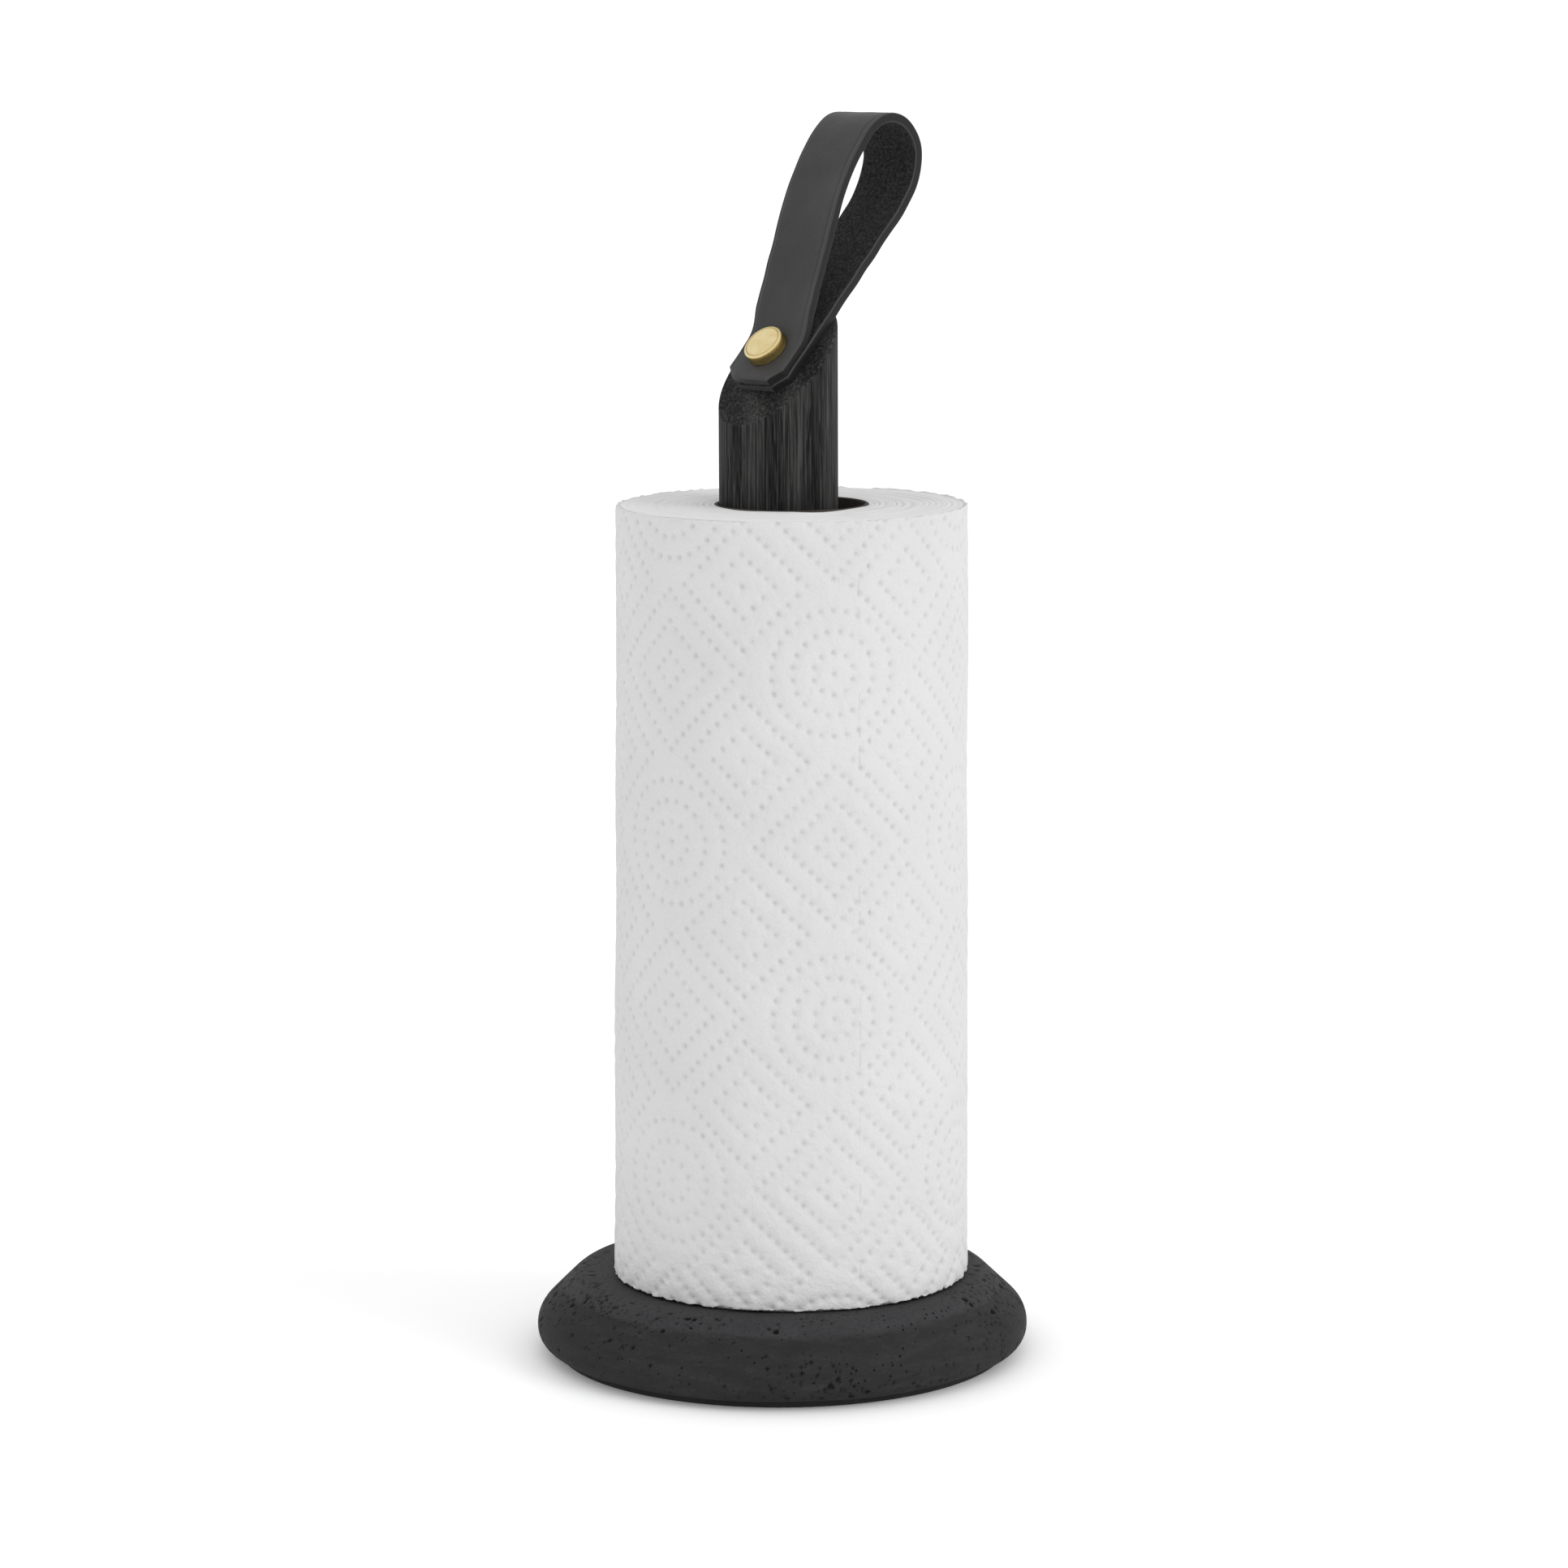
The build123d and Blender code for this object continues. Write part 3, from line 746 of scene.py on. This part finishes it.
# Painted shade: the knurled side and the fine groove inside the rim are coloured a darker brass.
in_groove = node("MapRange", off(node, radius, GROOVE_R), 0.05 * MM, 0.3 * MM, 0.75, 0.0)
on_side = node("MapRange", radius, STUD_R - 0.16 * MM, STUD_R - 0.08 * MM, 0.0, 0.85)
painted_brass_shade = node("Math", in_groove, on_side, operation="MAXIMUM")
bare = node("ValToRGB", tarnish, stops=[(0.3, "#D9C48C"), (0.7, "#E6D6A6")])
fill(shader, Base_Color=node("Mix", painted_brass_shade, bare, "#A98F4E", **COLOURS))
fill(shader, Roughness=node("MapRange", scratch, 0.3, 0.7, 0.26, 0.42))
fill(shader, Normal=node("Bump", Strength=0.6, Distance=0.02 * MM, Height=scratch))
place(stud_piece, "holder", "stud_brass", brass, "stud_cap")

# %% [markdown]
# The core is a tube of grey-brown board, wound in a spiral from strips. Its seams run round it as a
# helix, which in flattened millimetres is a slanted straight line. The tube is turned like the base.

# %% Core: mesh and board
CORE_WALL = 1.1
CORE_COLUMNS = 240


def tube_profile(inner, outer, bottom, top, soft, step):
    """Outline of a tube's wall, followed from the foot out, up, over the top and down inside."""
    return path(
        (inner + soft, bottom, 0.4), (outer - soft, bottom, 0.1), (outer, bottom + soft, step),
        (outer, top - soft, 0.1), (outer - soft, top, 0.4), (inner + soft, top, 0.1),
        (inner, top - soft, step), (inner, bottom + soft, 0.1), (inner + soft, bottom),
    )


core_mm = core_r / MM
core_outline = tube_profile(core_mm - CORE_WALL, core_mm, core_low.z / MM, core_high.z / MM, 0.25, 4.0)
core_points = turned(core_outline, CORE_COLUMNS, roll_x, roll_y)
core_height = np.append(core_outline[:, 1], core_outline[0, 1])
core_around = np.linspace(0, TURN * core_mm, CORE_COLUMNS + 1)
core_piece = surface("core_tube", core_points, ring_rows=True, ring_columns=True,
                     across=core_around, along=core_height)

board, node, shader, at = new_material("grey_board_spiral_wound", Roughness=0.9, IOR=1.5)
flat = (node("UVMap", uv_map="flat"), "UV")
turned_flat = node("Mapping", Vector=flat, Rotation=(0, 0, radians(28)))
seam = node("TexWave", Vector=turned_flat, Scale=1 / (20 * 3.3), bands_direction="Y")
seam_line = node("MapRange", (seam, "Fac"), 0.0, 0.06)
fleck = node("TexNoise", Vector=at, Scale=per_mm(0.8), Detail=4.0, Roughness=0.8)
pulp = node("ValToRGB", fleck, stops=[(0.3, "#2E2925"), (0.55, "#3B3530"), (0.75, "#48413A")])
fill(shader, Base_Color=node("Mix", seam_line, "#1F1B18", pulp, **COLOURS))
fill(shader, Normal=node("Bump", Distance=0.08 * MM, Height=fleck))
place(core_piece, "roll_core", "core_board", board, "core")

# %% [markdown]
# Steel rollers press dots into kitchen paper. The dots lie on a lattice of squares that stand on their
# corners, one every 25 mm along and across, filled with rings, small nested squares or large ones.
# A list of dot places comes first. The sheet is then a fine grid of heights, with one narrow round dimple
# stamped at each place, and one wide soft dimple under it for the quilting.

# %% Paper: pattern of dots
TILE = 25.0


def ring_of_dots(radius, count):
    """Dots on a circle, in mm from its middle."""
    angle = TURN * (np.arange(count) + 0.5) / count
    return np.stack([radius * np.cos(angle), radius * np.sin(angle)], 1)


def square_of_dots(half_diagonal, falling, rising=None):
    """Dots on a square that stands on its corner: its falling and its rising sides have equal steps each."""
    corners = half_diagonal * np.array([(1, 0), (0, 1), (-1, 0), (0, -1), (1, 0)])
    steps = (falling, rising or falling) * 2
    shares = [np.arange(count)[:, None] / count for count in steps]
    return np.concatenate([a * (1 - share) + b * share for a, b, share in zip(corners, corners[1:], shares)])


MIDDLE_DOT = np.zeros((1, 2))
ROUND_TILE = np.concatenate([MIDDLE_DOT, ring_of_dots(6, 10), ring_of_dots(12, 20), ring_of_dots(18, 30)])
LARGE_TILE = np.concatenate([square_of_dots(5.0, 2), square_of_dots(14.0, 6), square_of_dots(23.0, 10)])
SMALL_TILE = np.concatenate([MIDDLE_DOT, square_of_dots(9.1, 4, 3), square_of_dots(18.2, 8, 7)]) - (1.2, 0)


def pattern_dots(width, height):
    """Dots over a flattened sheet of the given size in mm. Middles lie at (25 m, 25 n) with m + n even: where
    m and n are even the round tile and the large one take turns, where they are odd the small one lies."""
    m, n = np.meshgrid(np.arange(-1, width // TILE + 2), np.arange(-1, height // TILE + 2), indexing="ij")
    middles = np.stack([m, n], -1).reshape(-1, 2)
    middles = middles[middles.sum(1) % 2 == 0]
    odd = middles[:, 0] % 2 == 1
    is_round = ~odd & ((middles.sum(1) // 2) % 2 == 0)
    kinds = ((is_round, ROUND_TILE), (~odd & ~is_round, LARGE_TILE), (odd, SMALL_TILE))
    return np.concatenate([(TILE * middles[where][:, None] + tile).reshape(-1, 2) for where, tile in kinds])


def stamp(field, step, places, depth, radius):
    """Adds a round bell at each place to a grid of heights whose cells are step mm: depth times
    exp(-(distance / radius) squared). All bells are added at once, by their cell numbers."""
    reach = int(np.ceil(2.4 * radius / step))
    offset = np.stack(np.meshgrid(*[np.arange(-reach, reach + 1)] * 2, indexing="ij"), -1).reshape(-1, 2)
    nearest = np.round(places / step).astype(int)
    cells = nearest[:, None] + offset
    distance = np.linalg.norm(cells * step - places[:, None], axis=2)
    bell = np.reshape(depth, (-1, 1)) * np.exp(-(distance / radius) ** 2)
    inside = ((cells >= 0) & (cells < field.shape)).all(2)
    np.add.at(field, (cells[inside][:, 0], cells[inside][:, 1]), bell[inside])


# %% [markdown]
# The outermost layer of the roll is one turn of a flat spiral. It begins at the torn tail on the far side,
# and lies nearly half a millimetre lower when it comes round again. It is worked out flattened, in mm
# round and mm up, and then bent round the roll. Four panels share it, so that each can have cells of half
# a millimetre and stay under 200,000 triangles.

# %% Paper: outer layer
roll_mm = roll_r / MM
paper_height = (paper_high.z - paper_low.z) / MM
TAIL_ANGLE = radians(70)
REPEAT = 4 * TILE                   # the pattern comes again after this much, both ways
SHEET_LENGTH = 240.0
CELLS_ROUND, CELLS_UP = 648, 460
PANELS = 4
PANEL_CELLS = CELLS_ROUND // PANELS
LOOSE_SIDE = radians(-135)
LOOSE_BY = 2.2                      # at the foot, on the loose side
SPIRAL_DROP = 0.45
DOT_DEEP, DOT_R = 0.5, 0.72
QUILT_DEEP, QUILT_R = 0.35, 1.7
PANEL_DEEP = 2.1
UNPRESSED = 0.4                     # the quilting brings the middle of the sheet back to the roll's radius

cell = TURN * roll_mm / CELLS_ROUND
up_cell = paper_height / CELLS_UP
round_tile_at = np.array((roll_mm * radians(258.0), paper_height - 143.5))
dots = pattern_dots(TURN * roll_mm + REPEAT, paper_height + REPEAT)
shifts = round_tile_at % REPEAT - REPEAT * np.array([(0, 0), (1, 0), (0, 1), (1, 1)])
dots = np.concatenate([dots + shift for shift in shifts])
inside = (dots > -2).all(1) & (dots < (TURN * roll_mm + 2, paper_height + 2)).all(1)
dots = np.unique(np.round(dots[inside], 2), axis=0)
random = np.random.default_rng(31)
dots += random.normal(0, 0.07, dots.shape)
emboss = np.zeros((CELLS_ROUND + 1, CELLS_UP + 1))
press = random.normal(1.0, 0.14, len(dots)).clip(0.6, 1.3)
square_dots = dots * (1, cell / up_cell)
stamp(emboss, cell, square_dots, -DOT_DEEP * press, DOT_R)
quilt = np.zeros_like(emboss)
stamp(quilt, cell, square_dots, -QUILT_DEEP, QUILT_R)
print("dots in the paper:", len(dots), "deepest, mm:", round(-(emboss + quilt).min(), 2))


def paper_panel(number):
    """Ring of points (x + r cos a, y + r sin a, z) for each step round, a from the tail: up the outer face,
    then down the inner one. r = roll radius - drop times the share of the turn + dimples + quilting + slow
    waves + what stands off towards the foot on the loose side. The rims are a little uneven. The first and
    last ring dive down a millimetre further on, so that the panel's ends lie inside the roll."""
    columns = np.arange(number * PANEL_CELLS, (number + 1) * PANEL_CELLS + 1)
    run = columns[:, None] * cell
    up = np.arange(CELLS_UP + 1)[None] * up_cell
    angle = TAIL_ANGLE + columns[:, None] / CELLS_ROUND * TURN
    x_wave, y_wave = 60 * np.cos(angle), 60 * np.sin(angle)
    edge_wave = (0.86 * x_wave, 0.86 * y_wave, 0 * up)
    radius = roll_mm + UNPRESSED - SPIRAL_DROP * run / (TURN * roll_mm)
    radius = radius + (emboss + quilt)[columns] + 0.16 * ripple(32, 70, x_wave, y_wave, up)
    loose = LOOSE_BY * np.clip(np.cos(angle - LOOSE_SIDE), 0, 1) ** 1.5
    radius = radius + loose * (1 - up / paper_height) ** 1.2
    to_rim = np.minimum(up, paper_height - up)
    radius = radius - 0.14 * np.exp(-to_rim / 0.4) + 0.16 * np.exp(-up / 1.6) * ripple(33, 3.0, *edge_wave)
    near_foot, near_top = np.exp(-up / 0.8), np.exp(-(paper_height - up) / 0.8)
    height = up + near_foot * (0.6 + 0.3 * np.abs(ripple(34, 3.2, *edge_wave)))
    height = height - near_top * 0.3 * np.abs(ripple(35, 9.0, x_wave, y_wave, 0 * up))
    torn = 0.35 * ripple(36, 2.0, up, 0 * up) * np.exp(-run / 0.8)
    turn = angle + torn / roll_mm
    deep = roll_mm - PANEL_DEEP
    inner_up = np.array([[paper_height - 0.3, paper_height - 1.2, paper_height / 2, 1.2, 0.3]])
    inner_r = np.array([[deep + 0.7, deep, deep, deep, deep + 0.7]])
    ends = [(angle[:1] - 1.0 / roll_mm, height[:1]), (angle[-1:] + 1.0 / roll_mm, height[-1:])]
    dive = [(np.full(h.shape, deep + 0.05), h.clip(1.25, paper_height - 1.25), a + 0 * h) for a, h in ends]
    rings = zip(dive[0], (radius, height, turn), dive[1])
    radius, height, turn = [np.concatenate(rows) for rows in rings]
    inner = np.ones((len(radius), 5))
    radius = np.concatenate([radius, inner_r * inner], 1) * MM
    height = paper_low.z + np.concatenate([height, inner_up * inner], 1) * MM
    turn = np.concatenate([turn, turn[:, :1] * inner], 1)
    points = np.stack([roll_x + radius * np.cos(turn), roll_y + radius * np.sin(turn), height], 2)
    flat_up = np.concatenate([up[0], inner_up[0], up[0, :1]])
    flat_run = np.concatenate([run[:1, 0] - 1.0, run[:, 0], run[-1:, 0] + 1.0, run[-1:, 0] + 2.0])
    return points, flat_up, flat_run


panels = []
for number in range(PANELS):
    points, flat_up, flat_run = paper_panel(number)
    panel = surface(f"paper_outer_{number + 1}", points, ring_columns=True, fans=("first", "last"),
                    across=flat_up, along=flat_run, sharp=50)
    store = panel.data.attributes.new("dimple", "FLOAT", "POINT")
    pressed_in = -emboss[number * PANEL_CELLS:(number + 1) * PANEL_CELLS + 1]
    sunk = np.zeros(len(panel.data.vertices))
    sunk[:points.shape[0] * points.shape[1]] = np.pad(pressed_in, ((1, 1), (0, 5))).ravel()
    store.data.foreach_set("value", sunk.astype(np.float32))
    panels.append(panel)

# %% [markdown]
# The layers below show only at the two ends of the roll, as a wound face of fine rings. It is a turned
# outline again. The heights of its end faces waver more from ring to ring than along a ring, because each
# ring is one turn of the same cut edge.

# %% Paper: wound body
WOUND_COLUMNS = 360
inner, outer = core_mm + 0.05, roll_mm - 1.45
low, high = 0.2, paper_height - 0.2
face_step, wall_step = 0.33, 20
wound = path((inner, low, face_step), (outer, low, wall_step), (outer, high, face_step),
             (inner, high, wall_step), (inner, low))
wound_radius = wound[:, :1].repeat(WOUND_COLUMNS, 1)
wound_points = turned(wound + [0, paper_low.z / MM], WOUND_COLUMNS, roll_x, roll_y)
wound_angle = np.broadcast_to(TURN * np.arange(WOUND_COLUMNS) / WOUND_COLUMNS, wound_radius.shape)
ring_step = ripple(41, 1.1, wound_radius, 0.5 * np.cos(wound_angle), 0.5 * np.sin(wound_angle), waves=24)
ring_slow = ripple(42, 16.0, wound_radius * np.cos(wound_angle), wound_radius * np.sin(wound_angle))
on_face = np.where(wound[:, 1:] > paper_height / 2, 1.0, -1.0)
wound_points[..., 2] -= on_face * MM * (0.08 + 0.10 * ring_step + 0.08 * ring_slow).clip(-0.05, 0.5)
wound_piece = surface("paper_wound", wound_points, ring_rows=True, ring_columns=True)

# %% [markdown]
# Tissue is creped: it is scraped off a drying cylinder, which leaves fine wrinkles across the sheet. It is
# bleached white and quite matt, and the pressed dots get a little painted shade. The perforation is a row of
# short cuts across the sheet, drawn as dashes of painted shade, read from the UV map, one sheet's length from
# the tail.

# %% Material: tissue, creped and embossed
tissue, node, shader, at = new_material("tissue_creped_white", Roughness=0.95, IOR=1.4)
sunk = (node("Attribute", attribute_name="dimple"), "Fac")
flat = (node("UVMap", uv_map="flat"), "UV")
split = node("SeparateXYZ", flat)
from_cut = off(node, (split, "Y"), SHEET_LENGTH)
cut_line = node("MapRange", from_cut, 0.15, 0.45, 1.0, 0.0, **SMOOTH)
dash = node("Math", node("Math", (split, "X"), 8.0, operation="DIVIDE"), operation="FRACT")
cut_part = node("Math", dash, 0.7, operation="LESS_THAN")
dashed = node("Math", cut_line, cut_part, operation="MULTIPLY")
patchy = node("MapRange", node("TexNoise", Vector=at, Scale=per_mm(9)), 0.45, 0.6)
cuts = node("Math", dashed, patchy, operation="MULTIPLY")
# Painted shade: the cuts are drawn as faint grey dashes.
painted_cut_shade = node("Math", cuts, 0.2, operation="MULTIPLY")
cloud = node("TexNoise", Vector=at, Scale=per_mm(35), Detail=3.0)
white = node("ValToRGB", cloud, stops=[(0.3, "#D1D1D1"), (0.7, "#D6D6D6")])
# Painted shade: the pressed dots are coloured a little darker.
shaded = node("MapRange", sunk, 0.05, 0.5, 0.0, 0.25)
painted_dot_shade = node("Mix", shaded, white, "#A4A4A6", **COLOURS)
fill(shader, Base_Color=node("Mix", painted_cut_shade, painted_dot_shade, "#9A9A9A", **COLOURS))
crepe_at = node("Mapping", Vector=flat, Scale=(1, 3.0, 1))
crepe = node("TexNoise", Vector=crepe_at, Scale=0.9, Detail=4.0, Roughness=0.7)
pulp_lump = node("TexNoise", Vector=at, Scale=per_mm(4.0), Detail=4.0, Roughness=0.6)
crepe_bump = node("Bump", Distance=0.1 * MM, Height=crepe)
fill(shader, Normal=node("Bump", Distance=0.8 * MM, Height=pulp_lump, Normal=crepe_bump))
for panel in panels:
    place(panel, "roll_paper", "towel_paper", tissue, "paper")

# %% [markdown]
# On the end faces the same tissue shows its cut edges: rings of light and shade that are closer together
# than a render can show, so they are drawn about a millimetre apart, round the roll's own middle.

# %% Material: tissue, wound end
wound_tissue, node, shader, at = new_material("tissue_wound_edges", Roughness=0.95, IOR=1.4)
centred = node("Mapping", Vector=at, Location=(-roll_x, -roll_y, 0))
split = node("SeparateXYZ", centred)
level_only = node("CombineXYZ", (split, "X"), (split, "Y"), 0.0)
from_middle = (node("VectorMath", level_only, operation="LENGTH"), "Value")
drift = node("TexNoise", Vector=at, Scale=per_mm(30), Detail=1.0)
winding = node("Math", drift, 0.002, from_middle, operation="MULTIPLY_ADD")
rings = node("TexNoise", node("CombineXYZ", winding, 0.0, 0.0), Scale=per_mm(0.9), Detail=3.0)
fill(shader, Base_Color=node("ValToRGB", rings, stops=[(0.3, "#D4D4D4"), (0.65, "#E0E0E0")]))
fill(shader, Normal=node("Bump", Distance=0.07 * MM, Height=rings))
place(wound_piece, "roll_paper", "towel_paper", wound_tissue, "paper")

# %% [markdown]
# The foot pad, the washers, the bolt, the insert and the screw keep their CAD shapes. The pad is foam
# rubber, matt and finely pored. The hardware is zinc plated steel, with a soft, slightly mottled shine.

# %% Materials: foam rubber and zinc plate
rubber, node, shader, at = new_material("rubber_foam_sheet_black", Roughness=0.85, IOR=1.52)
pored = node("TexVoronoi", Vector=at, Scale=per_mm(0.7))
worn = node("TexNoise", Vector=at, Scale=per_mm(12), Detail=4.0)
fill(shader, Base_Color=node("ValToRGB", worn, stops=[(0.3, "#161616"), (0.7, "#222222")]))
fill(shader, Normal=node("Bump", Distance=0.12 * MM, Height=pored))

zinc, node, shader, at = new_material("steel_zinc_plated", Metallic=1.0)
spangle = node("TexNoise", Vector=at, Scale=per_mm(1.6), Detail=4.0)
fill(shader, Base_Color=node("ValToRGB", spangle, stops=[(0.3, "#B4B6B8"), (0.7, "#C6C8C9")]))
fill(shader, Roughness=node("MapRange", spangle, 0.3, 0.7, 0.28, 0.42))
fill(shader, Normal=node("Bump", Strength=0.5, Distance=0.03 * MM, Height=spangle))

FINISHES = {"base_pad": rubber, "base_washer": zinc, "spring_washer": zinc, "base_bolt": zinc,
            "post_insert": zinc, "stud_screw": zinc}
for name, finish in FINISHES.items():
    frame["nodes"][name].data.materials.clear()
    frame["nodes"][name].data.materials.append(finish)
print("CAD pieces with a finish:", sorted(FINISHES))

# %% [markdown]
# Last, the box of the finished model is written beside the box of the CAD, so that the two can be compared.

# %% Sizes, and finish
seen_low, seen_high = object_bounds()
growth = zip((*cad_low, *seen_high), (*seen_low, *cad_high))
print("grown by, mm:", [round((a - b) / MM, 2) for a, b in growth])
